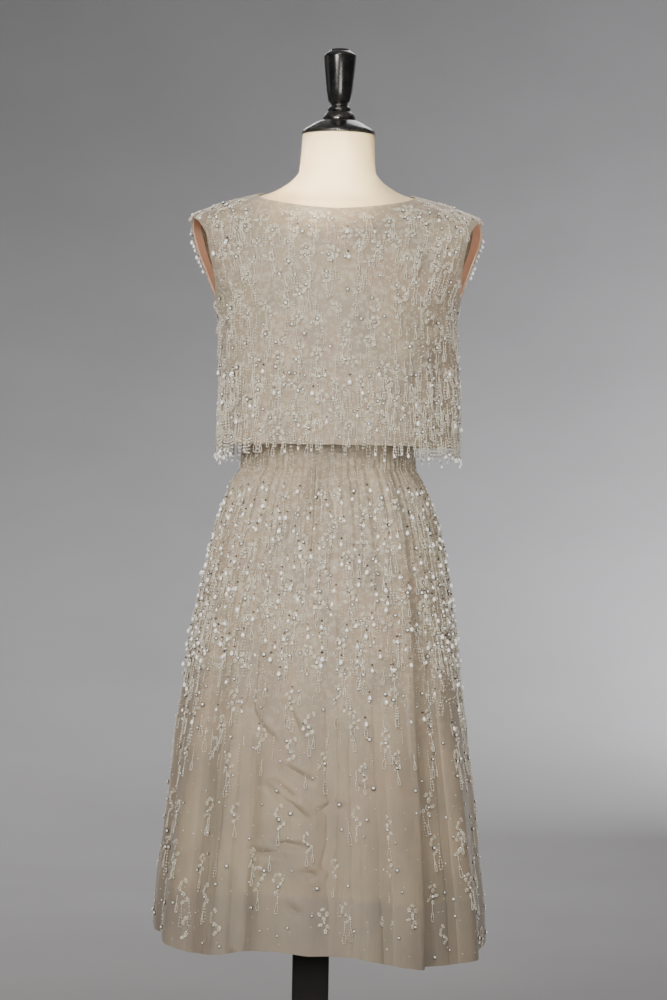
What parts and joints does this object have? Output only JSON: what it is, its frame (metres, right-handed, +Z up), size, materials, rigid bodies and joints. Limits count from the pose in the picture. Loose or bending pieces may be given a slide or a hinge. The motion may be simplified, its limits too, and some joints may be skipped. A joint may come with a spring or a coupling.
{
  "type": "cocktail dress on a dress form",
  "caption": "Sleeveless cocktail dress with a loose beaded overbodice and gathered A-line skirt, standing on a limbless dress form with a post and a round foot.",
  "frame": {"origin": "centre of the round foot's underside, on the ground under the post", "axes": "+Z up, -Y the way the dress faces, +X to the right of someone who looks at its front"},
  "size_m": [0.4631, 0.4088, 1.5969],
  "materials": {
    "dress_cloth": "silk organza over lining, soft sheen, beaded",
    "facing_satin": "peach satin",
    "beads": "small cream-white glass beads",
    "form_jersey": "cream cotton jersey, matte",
    "turned_black": "turned wood, gloss black lacquer",
    "stand_black": "satin black paint",
    "foot_black": "satin black paint on steel plate"
  },
  "bodies": {
    "root": {"bodice_front": "dress_cloth", "bodice_back_left": "dress_cloth", "bodice_back_right": "dress_cloth", "armhole_facing_left": "facing_satin", "armhole_facing_right": "facing_satin", "fringe_front": "beads", "fringe_back_left": "beads", "fringe_back_right": "beads", "waistband_front": "dress_cloth", "waistband_back_left": "dress_cloth", "waistband_back_right": "dress_cloth", "skirt_front": "dress_cloth", "skirt_back_left": "dress_cloth", "skirt_back_right": "dress_cloth", "form_torso": "form_jersey", "neck_cap": "turned_black", "neck_handle": "turned_black", "post": "stand_black", "foot": "foot_black"}
  },
  "joints": []
}
